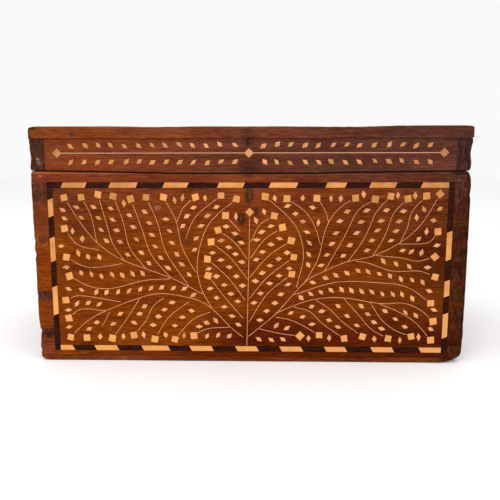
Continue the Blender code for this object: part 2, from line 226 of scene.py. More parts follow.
def woodMaterial(name, board, marks):
    material, tree, shader = newMaterial(name, wood["roughness"], wood["specular"])
    coords = addNode(tree, "ShaderNodeTexCoord").outputs
    place = coords["Object"]
    parts = addNode(tree, "ShaderNodeSeparateXYZ", {0: place}).outputs
    order = {"x": (0, 1, 2), "y": (1, 0, 2)}[board["grain"]]
    along = {number: parts[axis] for number, axis in enumerate(order)}
    along = addNode(tree, "ShaderNodeCombineXYZ", along).outputs[0]
    pith = board["pith"]
    wander = {"Vector": mapped(tree, along, wood["wander"], pith), "Scale": 1.0,
              "Detail": wood["wanderDetail"]}
    wander = addNode(tree, "ShaderNodeTexNoise", wander).outputs[1]
    wander = moved(tree, "SUBTRACT", wander, (0.5, 0.5, 0.5))
    wander = moved(tree, "MULTIPLY", wander, (0.0, wood["wanderBy"], wood["wanderBy"]))
    grain = moved(tree, "ADD", along, wander)

    def figure(size):
        width, length, detail, roughness = wood[size]
        stretch = (1 / length, 1 / width, 1 / width)
        return noiseOn(tree, grain, stretch, detail, roughness, pith)

    def tinted(colour, tints):  # where light and hands have changed the wood, and painted shade where a face grows darker towards the right
        for factor, *ranges in tints:
            amount = 1.0
            for axis, first, last in ranges:
                here = spread(tree, parts["xyz".index(axis)], first * mm, last * mm)
                amount = sums(tree, "MULTIPLY", here, amount)
            colour = mixed(tree, amount, colour, factor, "MULTIPLY")
        return colour

    bands, streaks, fibres = figure("bands"), figure("streaks"), figure("fibres")
    pores = spread(tree, figure("pores"), *wood["poreEdge"])
    rings = mapped(tree, grain, (wood["ringStretch"], 1, 1), (0, *pith[1:]))
    rings = ringsOn(tree, rings, **wood["rings"])
    tone = weighed(tree, *zip((bands, streaks, fibres, rings), wood["shares"]))
    colour = rampOf(tree, tone, wood["stops"], board["tones"])
    inPores = sums(tree, "MULTIPLY", pores, wood["poreDepth"])
    colour = mixed(tree, inPores, colour, tuple(c * wood["poreShade"] for c in board["tones"][0]))

    heart = board["heart"]
    around = mapped(tree, along, (0, 1, 1), (0, -heart[0], -heart[1]))
    edges = spread(tree, ringsOn(tree, around, **wood["endRings"]), *wood["ringEdge"])
    fade = spread(tree, lengthOf(tree, around), *wood["ringFade"])
    edges = sums(tree, "MULTIPLY", edges, fade)
    scale = (wood["mottleDepth"], *(1 / size for size in wood["mottle"]))
    mottle = noiseOn(tree, along, scale, *wood["mottleDetail"], pith)
    endColour = rampOf(tree, mottle, wood["endStops"], board["ends"])
    endColour = mixed(tree, edges, endColour, tuple(c * wood["ringPale"] for c in board["ends"][2]))
    normal = addNode(tree, "ShaderNodeSeparateXYZ", {0: coords["Normal"]}).outputs[order[0]]
    facing = spread(tree, sums(tree, "ABSOLUTE", normal), *wood["endTurn"])
    colour = tinted(colour, board.get("tints", ()))
    colour = mixed(tree, facing, colour, tinted(endColour, board.get("endTints", ())))

    # bare wood where the arrises are worn, and on the rim below the gap a pale line that is partly
    # a painted highlight
    worn = spread(tree, streaks, *wood["wornEdge"])
    worn = sums(tree, "MULTIPLY", onPoints(tree, "worn"), worn)
    colour = mixed(tree, worn, colour, wood["bareAndHighlight"])
    # painted shade in the gap between lid and case
    colour = mixed(tree, onPoints(tree, "gap_shade"), colour, wood["paintedGapShade"])
    front = spread(tree, parts[1], *wood["front"])
    # the marks: stains, chips and plugs, and painted shade at the rim's right end
    for mark in marks:
        depth = spot(tree, place, front, mark)
        colour = mixed(tree, depth, colour, mark.get("colour", wood["stainAndShade"]))
    tree.links.new(colour, shader.inputs["Base Color"])
    glossy, dull = (wood["roughness"] + change for change in wood["handled"])
    gloss = spread(tree, noiseOn(tree, place, wood["hands"]), *wood["handEdge"], glossy, dull)
    tree.links.new(gloss, shader.inputs["Roughness"])
    relief = weighed(tree, *zip((fibres, streaks, pores), wood["relief"]))
    roughen(tree, shader, mixed(tree, facing, relief, mottle), wood["bump"], wood["bumpDepth"])
    return material


# colours are linear, dark, middle and light of each board
lidTones = ((0.088, 0.017, 0.003), (0.150, 0.032, 0.0055), (0.220, 0.054, 0.012))
railTones = ((0.086, 0.0172, 0.0036), (0.144, 0.0308, 0.0068), (0.203, 0.0487, 0.0136))
caseTones = ((0.080, 0.0138, 0.0025), (0.140, 0.0270, 0.0055), (0.202, 0.047, 0.011))
sideTones = ((0.065, 0.012, 0.001), (0.120, 0.024, 0.003), (0.18, 0.040, 0.008))
lidSideTones = ((0.074, 0.0142, 0.002), (0.128, 0.0265, 0.0042), (0.185, 0.043, 0.0095))
leftEnds = ((0.034, 0.0090, 0.0040), (0.071, 0.0193, 0.0083), (0.116, 0.0325, 0.0145))
rightEnds = ((0.020, 0.005, 0.0013), (0.046, 0.0107, 0.0025), (0.083, 0.0212, 0.006))
leftLidEnds = ((0.022, 0.007, 0.0035), (0.048, 0.014, 0.007), (0.086, 0.026, 0.014))
rightLidEnds = ((0.016, 0.006, 0.0036), (0.033, 0.0115, 0.0083), (0.063, 0.0225, 0.0165))
# each tint is a colour to multiply with, and the ranges in mm over which it comes in
# painted shade: the lid's board, mostly at its front, and its front rail grow darker towards the
# right, away from the lamp
lidBoardShade = (((0.60, 0.84, 2.6), ("x", -140, 140), ("y", 60, -100)),)
frontRailShade = (((0.59, 0.82, 1.95), ("x", -140, 70)),)
frontTints = (
    ((1.08, 1.04, 0.15), ("z", 165, 115)),
    # painted shade: the front grows darker towards the right, away from the lamp
    ((0.75, 0.82, 1.2), ("x", 20, 180)),
    ((0.76, 0.80, 0.90), ("x", -120, -160), ("z", 125, 155), ("z", 170, 166)),
    ((0.60, 0.42, 0.1), ("x", -50, 0), ("z", 50, 30), ("z", 12, 17)),
    ((0.62, 0.56, 0.8), ("x", 132, 162), ("z", 70, 90), ("z", 142, 122)),
    ((0.80, 0.95, 1.6), ("z", 168, 172), ("x", 0, 100)),
    ((0.84, 0.80, 0.7), ("z", 13, 10.5), ("x", 60, 160)),
    ((0.66, 0.47, 0.3), ("z", 13, 10.5), ("x", -150, -60)),
    ((1.10, 1.10, 2.0), ("z", 13, 10.5), ("x", -100, -170)),
    ((0.62, 0.60, 0.8), ("x", 186, 189)),
    ((1.08, 1.04, 1.9), ("x", -186, -189)),
    ((0.94, 0.98, 4.0), ("x", -184, -188), ("z", 34, 24)),
)
leftTints = (((2.2, 1.8, 1.0), ("z", 107, 108.5), ("z", 124, 122.5), ("y", -126, -129)),)
floorTints = (((0.36, 0.42, 0.8), ("x", 178, 184), ("y", -126, -129)),)
rightTints = (((0.66, 0.60, 0.5), ("x", 190, 200)), ((1.15, 1.3, 3.0), ("z", 130, 160)))
boards = {  # pith is where a board's figure is taken from, heart the middle of its year rings
    "front_board": {"grain": "x", "tones": caseTones, "ends": leftEnds, "tints": frontTints,
                    "pith": (0.3, 0.21, 0.05), "heart": (0.10, 0.05)},
    "back_board": {"grain": "x", "tones": caseTones, "ends": leftEnds,
                   "pith": (1.3, -0.19, 0.02), "heart": (-0.08, 0.14)},
    "left_board": {"grain": "y", "tones": sideTones, "ends": leftEnds, "endTints": leftTints,
                   "pith": (0.7, 0.26, -0.03), "heart": (-0.23, 0.10)},
    "right_board": {"grain": "y", "tones": sideTones, "ends": rightEnds, "endTints": rightTints,
                    "pith": (0.1, -0.14, -0.06), "heart": (0.188, 0.0095)},
    "floor_board": {"grain": "x", "tones": sideTones, "ends": leftEnds, "tints": floorTints,
                    "pith": (0.9, 0.03, 0.07), "heart": (0.0, 0.0)},
    "lid_top_board": {"grain": "x", "tones": lidTones, "ends": leftLidEnds, "tints": lidBoardShade,
                      "pith": (0.4, 0.03, -0.17), "heart": (0.02, 0.17)},
    "lid_front_rail": {"grain": "x", "tones": railTones, "ends": leftLidEnds, "tints": frontRailShade,
                       "pith": (1.1, 0.16, -0.17), "heart": (0.02, 0.16)},
    "lid_back_rail": {"grain": "x", "tones": railTones, "ends": leftLidEnds,
                      "pith": (0.2, -0.09, -0.22), "heart": (0.05, 0.23)},
    "lid_left_rail": {"grain": "y", "tones": lidSideTones, "ends": leftLidEnds,
                      "pith": (0.6, 0.19, -0.19), "heart": (-0.1965, 0.1895)},
    "lid_right_rail": {"grain": "y", "tones": lidSideTones, "ends": rightLidEnds,
                       "pith": (1.7, -0.20, -0.18), "heart": (0.186, 0.175)},
}
marks = (  # filled hasp holes, a plug, chips, stains round where a catch was, and painted shade on the rim's right end under the lid
    {"x": -0.3, "z": 208.5, "wide": 9, "high": 11, "dark": 0.45},
    {"x": -0.2, "z": 206.3, "wide": 2.4, "high": 3.6, "dark": 0.95},
    {"x": 0.7, "z": 206.3, "wide": 0.8, "high": 2.2, "dark": 0.5, "colour": (0.12, 0.06, 0.035)},
    {"x": 2.5, "z": 184.5, "wide": 14, "high": 8, "dark": 0.42},
    {"x": -0.5, "z": 181.0, "wide": 12, "high": 5, "dark": 0.45},
    {"x": 4, "z": 195, "wide": 26, "high": 14, "dark": 0.22},
    {"x": -197, "z": 218.5, "wide": 7, "high": 2.4, "dark": 0.8},
    {"x": -200, "z": 209, "wide": 2.2, "high": 9, "dark": 0.6},
    {"x": 188.5, "z": 171.5, "wide": 2.4, "high": 0.8, "dark": 0.6, "colour": (0.12, 0.07, 0.05)},
    # painted shade on the worn rim at the right end, under the lid
    {"x": 193, "z": 176.0, "wide": 4.5, "high": 0.7, "dark": 0.5, "colour": (0.13, 0.075, 0.05)},
    {"x": -159.5, "z": 213, "wide": 3.2, "high": 3.0, "dark": 0.8, "colour": (0.045, 0.022, 0.014)},
    {"x": -193, "z": 191, "wide": 2.0, "high": 1.6, "dark": 0.8, "colour": (0.30, 0.15, 0.09)},
    {"x": -192, "z": 187.5, "wide": 2.6, "high": 2.4, "dark": 0.6, "colour": (0.22, 0.11, 0.07)},
    {"x": -0.2, "z": 176.0, "wide": 7, "high": 2.2, "dark": 0.45},
    {"x": 0.2, "z": 158.5, "wide": 5.2, "high": 11.5, "dark": 0.76},
    {"x": 0.9, "z": 159.5, "wide": 1.5, "high": 7, "dark": 0.5, "colour": (0.13, 0.055, 0.022)},
    {"x": -7.2, "z": 136.5, "wide": 5.2, "high": 8.4, "dark": 0.85},
    {"x": -7.4, "z": 137.5, "wide": 1.3, "high": 3.6, "dark": 0.5, "colour": (0.13, 0.05, 0.012)},
    {"x": 6.6, "z": 143.3, "wide": 3.8, "high": 5.2, "dark": 0.72},
    {"x": -10, "z": 117.5, "wide": 7, "high": 3.6, "dark": 0.7},
    {"x": 60, "z": 116, "wide": 12, "high": 7, "dark": 0.35},
    {"x": -58, "z": 118, "wide": 9, "high": 10, "dark": 0.35},
    {"x": -150, "z": 90, "wide": 22, "high": 5, "dark": 0.25},
    {"x": -151, "z": 124, "wide": 26, "high": 17, "dark": 0.24},
    {"x": -83.5, "z": 146.8, "wide": 3.2, "high": 2.5, "dark": 0.85, "colour": (0.30, 0.15, 0.10)},
    {"x": -83.3, "z": 146.7, "wide": 1.9, "high": 1.3, "dark": 0.8, "colour": (0.07, 0.03, 0.02)},
    {"x": -191.5, "z": 175.6, "wide": 1.1, "high": 1.1, "dark": 0.75, "colour": (0.50, 0.22, 0.10)},
    {"x": -190.5, "z": 117, "wide": 3.8, "high": 4.6, "dark": 0.55},
    {"x": -189, "z": 64, "wide": 9, "high": 4.5, "dark": 0.5},
    {"x": -191, "z": 26.5, "wide": 7.5, "high": 3.8, "dark": 0.85},
    # painted shade on the rim's right end, under the lid
    {"x": 190, "z": 178.3, "wide": 12, "high": 2.6, "dark": 0.85},
)


def marksOn(name):
    low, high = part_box(name)
    if low.y > wood["front"][0]:
        return []
    around = 8 * mm  # a mark can spread over a joint
    return [m for m in marks if low.x - around < m["x"] * mm < high.x + around
            and low.z - around < m["z"] * mm < high.z + around]


# how far the silhouette stands out past the board, in mm, from the ground up
outlines = {
    "caseLeft": ((0, 0), (8, 0), (14, 0.4), (18, -0.1), (28, -0.7), (35, 0), (43, 0.85),
                 (53, 0.65), (68, 0.9), (80, 0.65), (93, 0.6), (103, 0.9), (113, 0.75),
                 (123, 0.7), (135, 0.9), (150, 0.75), (158, 0.9), (168, 0.85), (174, 0.5),
                 (179, 0.5)),
    "caseRight": ((0, 0.1), (14, 0.2), (20, 0.6), (28, 0.9), (38, 0.5), (43, 0.9), (50, 0.65),
                  (58, 0.9), (153, 0.9), (158, 0.4), (163, 0.9), (168, 0.9), (173, 0.2),
                  (179, -1.0)),
    "lidLeft": ((179, 1.0), (182, 1.2), (187, 0.5), (194, 0.05), (199, 1.0), (209, 1.2)),
    "lidRight": ((179, -0.7), (182, 0), (186, 0.5), (190, -0.1), (194, -0.5), (198, -1.1),
                 (202, 0.2), (206, 0.9), (209, 1.0)),
}
# the gap between lid and case, and the top of the lid, aren't straight: mm up, left to right
seam = ((-190, 0.9), (-173, 0.5), (-150, 0.35), (-118, -0.3), (-90, -1.0), (-63, -1.5),
        (60, -1.5), (73, -1.1), (87, -0.6), (114, -0.5), (141, 0), (181, 0.3), (193, 0.6))
crest = ((-136, 0), (-113, -0.25), (-90, -0.75), (-66, -0.6), (-43, -0.3), (3, -0.5),
         (26, -0.45), (50, -0.7), (73, -0.9), (97, -1.0), (120, -0.45), (138, 0))
wear = {
    "slice": 0.004,  # spacing of the cuts along an arris
    "reach": 0.0055, "cuts": (0.3, 0.6, 1),  # how far in the wear is felt, and the cuts there
    "strip": 0.011,  # width of the finely cut strip beside an arris
    "hollow": 0.0007, "hollowScale": 28,  # the long hollows: depth, and how often they come
    "chips": 0.0011, "chipScale": 170, "chipSeed": (3, 7, 1), "chipPeak": 2.2,
    "sideSpared": 0.65,  # share of the hollows that doesn't reach the sides
    "footWear": {"case": 0.7, "lidTop": 0, "rail": 0},  # wear of the lower and upper arrises
    "topWear": {"case": 0, "lidTop": 0.5, "rail": 0},
    "endOnSide": 0.6, "endOnFace": 0.5,  # how those pass it on to the side and the face
    "bareEnd": -0.1, "bareFoot": 0.2,  # left of this the foot is worn to bare wood
    "outlineReach": 0.013, "crestReach": 0.009,
    "front": 0.02, "fade": 0.09,  # the outlines, seam and crest fade out behind the front
    "roundDepth": 0.05,  # how far back the rounded corners run
}
gap = {  # between lid and case
    "cuts": (-0.0022, -0.0012, -0.0006, 0.0006, 0.0022), "bend": 0.012,
    "closer": 0.00008, "shut": 0.000145, "shutFrom": 0.17,  # how much it closes, and at its ends
    # how far the closing and the groove reach, the groove's depth, and how far the painted shade in
    # the gap reaches
    "closeReach": 0.003, "groove": 0.00035, "grooveReach": 0.0022, "paintedGapShade": 0.0007,
    # the pale line on the rim below the gap, bare wood and partly a painted highlight where the
    # arris catches the light: its place, reach, and strength at the left and right
    "bareHighlightAt": 0.0012, "bareHighlightReach": 0.0011, "bareHighlightLeft": 0.9, "bareHighlightRight": 0.2,
}
# the joints at the corners of the case: where they are, and how much their level faces close
joints = {"corner": 0.014, "low": 0.003, "high": 0.176, "level": 0.3, "tight": 0.00017}
weld = 1e-6  # points this close are one
flat = math.radians(0.5)  # and so are faces that meet at less than this
# corners worn round at the front: side, from the foot or the top, width, rise and reach in mm,
# and the power of the curve
roundings = {
    "case": ((-1, "foot", 9, 2.2, 14, 2), (1, "foot", 19.5, 4.9, 7, 1),
             (-1, "top", 3, 0.5, 14, 2), (1, "top", 3.2, 1.4, 14, 2)),
    "lidTop": ((-1, "top", 9, 1.2, 14, 2),),
    "rail": ((-1, "foot", 3, 0.4, 14, 2), (1, "foot", 2.5, 0.3, 14, 2)),
}


def valueAt(points, place):
    for (low, first), (high, last) in zip(points, points[1:]):
        if place <= high:
            share = max(0.0, (place - low) / (high - low))
            return first + (last - first) * share * share * (3 - 2 * share)
    return points[-1][1]


def near(distance, reach):
    return max(0.0, 1 - max(distance, 0.0) / reach)


def wornPoint(p, low, high, kind, groove):
    # where a point of a board goes, how bare the wood is there, with a painted highlight on the rim
    # below the gap, and how much shade is painted into the gap between lid and case
    side, face = min(p.x - low.x, high.x - p.x), min(p.y - low.y, high.y - p.y)
    foot, top = p.z - low.z, high.z - p.z
    atSide, atFace = near(side, wear["reach"]), near(face, wear["reach"])
    atEnd = max(wear["footWear"][kind] * near(foot, wear["reach"]),
                wear["topWear"][kind] * near(top, wear["reach"]))
    hollow = wear["hollow"] * (0.5 + 0.5 * noise.noise(p * wear["hollowScale"]))
    chip = max(0.0, noise.noise(p * wear["chipScale"] + Vector(wear["chipSeed"])))
    chip = wear["chipPeak"] * chip ** 2
    loss = hollow + wear["chips"] * chip
    toX, toY = (1 if p.x < 0 else -1), (1 if p.y < 0 else -1)
    toZ = 1 if foot < top else -1
    endOnSide, endOnFace = wear["endOnSide"] * atEnd, wear["endOnFace"] * atEnd
    sideLoss = loss - wear["sideSpared"] * hollow
    move = Vector((toX * atSide * (atFace * sideLoss + endOnSide * loss),
                   toY * atFace * (atSide + endOnFace) * loss,
                   toZ * (endOnSide * atSide + endOnFace * atFace) * loss))
    bareAndHighlight = gap_shade = 0.0
    if kind == "case" and p.x < wear["bareEnd"]:
        bareAndHighlight = min(1.0, atEnd * atFace * (wear["bareFoot"] + chip))
    front = near(p.y - low.y - wear["front"], wear["fade"])
    if kind == "lidTop":
        move.z += valueAt(crest, p.x / mm) * mm * near(top, wear["crestReach"]) * front
    else:
        outline = {"case": "case", "rail": "lid"}[kind] + ("Left" if p.x < 0 else "Right")
        out = valueAt(outlines[outline], p.z / mm) * mm
        move.x -= toX * out * near(side, wear["outlineReach"]) * front
    for hand, end, wide, rise, reach, power in roundings[kind]:
        if hand * p.x > 0:
            depth, up = (foot, 1) if end == "foot" else (top, -1)
            fade = near(depth, reach * mm) * near(p.y - low.y, wear["roundDepth"])
            move.z += up * rise * mm * near(side, wide * mm) ** power * fade
    if groove is not None:
        up = 1 if kind == "rail" else -1
        beside = abs(p.z - groove)
        closing = gap["shut" if abs(p.x) > gap["shutFrom"] else "closer"]
        rounding = near(beside, gap["grooveReach"]) * near(min(side, face), gap["grooveReach"])
        move.z += valueAt(seam, p.x / mm) * mm * near(beside, gap["bend"]) * front
        move.z -= up * closing * near(beside, gap["closeReach"])
        move.z += up * gap["groove"] * rounding
        # painted shade in the gap between lid and case, strongest at the groove
        gap_shade = near(beside, gap["paintedGapShade"])
        # a pale line on the rim below the gap: bare wood, and a painted highlight where its arris
        # catches the light
        if kind == "case":
            most = gap["bareHighlightLeft" if p.x < wear["bareEnd"] else "bareHighlightRight"]
            bareAndHighlight = max(bareAndHighlight, most * near(abs(beside - gap["bareHighlightAt"]), gap["bareHighlightReach"]))
    return p + move, bareAndHighlight, gap_shade


def sliceAt(bm, faces, axis, places):
    for place in places:
        point, normal = [0, 0, 0], [0, 0, 0]
        point[axis], normal[axis] = place, 1
        # unlike a set, a dictionary keeps the order, so every run cuts the same way
        live = dict.fromkeys(g for f in faces if f.is_valid for g in (f, *f.edges, *f.verts))
        cut = bmesh.ops.bisect_plane(bm, geom=list(live), plane_co=point, plane_no=normal,
                                     dist=weld)
        faces = [g for g in cut["geom"] if isinstance(g, bmesh.types.BMFace)]


def steps(low, high, step):
    count = max(1, round((high - low) / step))
    return [low + (high - low) * k / count for k in range(1, count)]


def closeJoints(bm, high):
    # the corner joints are tight, so that no light comes through them
    for f in bm.faces:
        c = f.calc_center_median()
        atCorner = min(abs(c.x) - high.x, abs(c.y) - high.y) > -joints["corner"]
        level = abs(f.normal.z) > joints["level"]
        if level and atCorner and joints["low"] < c.z < joints["high"]:
            closer = (0, 0, math.copysign(joints["tight"], f.normal.z))
            bmesh.ops.translate(bm, verts=f.verts[:], vec=closer)


def wearBoard(name, material, kind, low, high, groove):
    # a copy of the board with worn arrises; low and high are the corners of all boards of its kind
    bm = bmesh.new()
    bm.from_mesh(nodes[name].data)
    bmesh.ops.remove_doubles(bm, verts=bm.verts[:], dist=weld)
    bmesh.ops.dissolve_limit(bm, angle_limit=flat, verts=bm.verts[:], edges=bm.edges[:])
    boxLow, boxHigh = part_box(name)
    reach = wear["reach"]
    if kind == "case":
        closeJoints(bm, high)
    for axis in range(3):  # a few cuts close to each outer face
        close = [c for share in wear["cuts"]
                 for c in (low[axis] + share * reach, high[axis] - share * reach)]
        if axis == 2 and groove is not None:
            close += [groove + away for away in gap["cuts"]]
        sliceAt(bm, bm.faces[:], axis, [c for c in close if boxLow[axis] < c < boxHigh[axis]])
    worn = (True, True, kind != "rail")
    for axis in range(3):  # and many across the strips beside the arrises
        others = [k for k in range(3) if k != axis and worn[k]]

        def beside(f):
            c = f.calc_center_median()
            return any(min(c[k] - low[k], high[k] - c[k]) < wear["strip"] for k in others)

        strips = [f for f in bm.faces if beside(f)]
        sliceAt(bm, strips, axis, steps(boxLow[axis], boxHigh[axis], wear["slice"]))
    # on its points the board keeps how bare the wood is, with a painted highlight on the rim, and
    # how much shade is painted into the gap
    bareAndHighlight = bm.verts.layers.float.new("worn")
    gap_shade = bm.verts.layers.float.new("gap_shade")
    for v in bm.verts:
        v.co, v[bareAndHighlight], v[gap_shade] = wornPoint(v.co.copy(), low, high, kind, groove)
        for axis in range(3):
            v.co[axis] = min(max(v.co[axis], cadLow[axis]), cadHigh[axis])
    bmesh.ops.triangulate(bm, faces=bm.faces[:])
    piece = settled(bm, "worn_" + name)
    finish(piece, material)
    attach(piece, "root")
    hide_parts(name)
    print("worn", name, len(piece.data.polygons), "faces")


kinds = {
    "case": ("front_board", "back_board", "left_board", "right_board", "floor_board"),
    "lidTop": ("lid_top_board",),
    "rail": ("lid_front_rail", "lid_back_rail", "lid_left_rail", "lid_right_rail"),
}
for kind, names in kinds.items():
    lows, highs = zip(*(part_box(name) for name in names))
    low = Vector([min(corner[axis] for corner in lows) for axis in range(3)])
    high = Vector([max(corner[axis] for corner in highs) for axis in range(3)])
    groove = {"case": high.z, "rail": low.z}.get(kind)  # the edge that meets the other part
    for name in names:
        material = woodMaterial("rosewood_" + name, boards[name], marksOn(name))
        wearBoard(name, material, kind, low, high, groove)

bone = {
    "roughness": 0.45, "specular": 0.08, "bump": 0.2, "bumpDepth": 0.0002,
    "clouds": (70, 70, 70), "pits": (700, 700, 1500),
    # the pieces high up at the ends are duller from handling, and those on the lid a little
    "handledUp": (0.04, 0.17), "handledAside": (0.02, 0.12, 0.4, 1.0), "lid": (0.178, 0.182),
    "shares": (0.7, 0.3, -0.28, -0.06),  # what clouds, pits, handling and the lid give
    "shift": 0.06, "stops": (0.25, 0.55), "stripEdge": 0.1,
}


def boneMaterial(name, dull, pale, toned=True, strip=None):
    material, tree, shader = newMaterial(name, bone["roughness"], bone["specular"])
    place = addNode(tree, "ShaderNodeTexCoord").outputs["Object"]
    parts = addNode(tree, "ShaderNodeSeparateXYZ", {0: place}).outputs
    aside = sums(tree, "ABSOLUTE", parts["X"])
    handled = sums(tree, "MULTIPLY", spread(tree, parts["Z"], *bone["handledUp"]),
                   spread(tree, aside, *bone["handledAside"]))
    onLid = spread(tree, parts["Z"], *bone["lid"])
    clouds, pits = noiseOn(tree, place, bone["clouds"]), noiseOn(tree, place, bone["pits"], 2)
    value = weighed(tree, *zip((clouds, pits, handled, onLid), bone["shares"]))
    value = sums(tree, "ADD", value, bone["shift"])
    if toned:  # each leaf and bud has its own shade, kept on its points
        value = sums(tree, "ADD", value, onPoints(tree, "tone"))
    colour = rampOf(tree, value, bone["stops"], (dull, pale))
    if strip:  # between the buds, at these distances from the middle, the stem is another colour
        first, last, other = strip
        edge = bone["stripEdge"] * mm
        between = sums(tree, "MULTIPLY", spread(tree, aside, first, first + edge),
                       spread(tree, aside, last, last - edge))
        colour = mixed(tree, between, colour, other)
    tree.links.new(colour, shader.inputs["Base Color"])
    roughen(tree, shader, pits, bone["bump"], bone["bumpDepth"])
    return material


blackWood = {
    "roughness": 0.4, "specular": 0.04, "bump": 0.2, "bumpDepth": 0.0002,
    "streaks": (90, 500, 500), "stops": (0.35, 0.65),
    "tones": ((0.0095, 0.0024, 0.0009), (0.034, 0.0078, 0.0026)),
}


def ebonyMaterial():
    material, tree, shader = newMaterial("ebony", blackWood["roughness"], blackWood["specular"])
    place = addNode(tree, "ShaderNodeTexCoord").outputs["Object"]
    streaks = noiseOn(tree, place, blackWood["streaks"])
    colour = rampOf(tree, streaks, blackWood["stops"], blackWood["tones"])
    tree.links.new(colour, shader.inputs["Base Color"])
    roughen(tree, shader, streaks, blackWood["bump"], blackWood["bumpDepth"])
    return material


boneTile = boneMaterial("bone_tile", (0.42, 0.175, 0.045), (0.68, 0.295, 0.083))
boneLeaf = boneMaterial("bone_leaf", (0.42, 0.18, 0.058), (0.68, 0.31, 0.118))
boneStem = boneMaterial("bone_stem", (0.70, 0.32, 0.13), (0.95, 0.45, 0.20), False)
stemLow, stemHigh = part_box("lid_stem_inlay")
lidBud = stemHigh.z - stemLow.z
boneLid = boneMaterial("bone_lid", (0.36, 0.15, 0.052), (0.61, 0.27, 0.104), False,
                       (lidBud / 2, stemHigh.x - lidBud, (0.52, 0.27, 0.15)))
ebony = ebonyMaterial()
for name, node in nodes.items():
    if "_bone_tile_" in name:
        finish(node, boneTile)
    elif "_ebony_tile_" in name:
        finish(node, ebony)
finish(nodes["lid_stem_inlay"], boneLid)
print("wood, bone and ebony laid on the boards and tiles")

inlay = {  # lengths in mm, angles in degrees; a pair is the least and the most of a share
    "stemWidth": 0.29, "leafLength": 7.1, "leafWidth": 4.0, "budSide": 6.2,
    "leafLengths": (0.90, 1.08), "leafWidths": (0.88, 1.10), "budSides": (0.94, 1.04),
    "budGap": 5.1,  # how far from the middle of its bud a stem starts
    "proud": 0.12, "sunk": 0.5,  # how far it stands out of the face, and how deep it is let in
    "wobble": 0.24, "turn": 5, "budTurn": 16, "drift": 0.35, "seed": 7,  # the inlayer's hand
    "shades": (-0.12, 0.08, 0.04),  # darkest, palest and usual shade of a piece
    "stemStep": 3, "look": 0.02,  # length of a stem's pieces, and the share over which it turns
    "swell": 0.15, "swells": 37, "swellShift": 0.54,  # a stem's uneven width
    "apart": 0.0006,  # each stem stands out a little more than the last, where they cross
    "uprightLean": 95, "extraTurn": 2,
}

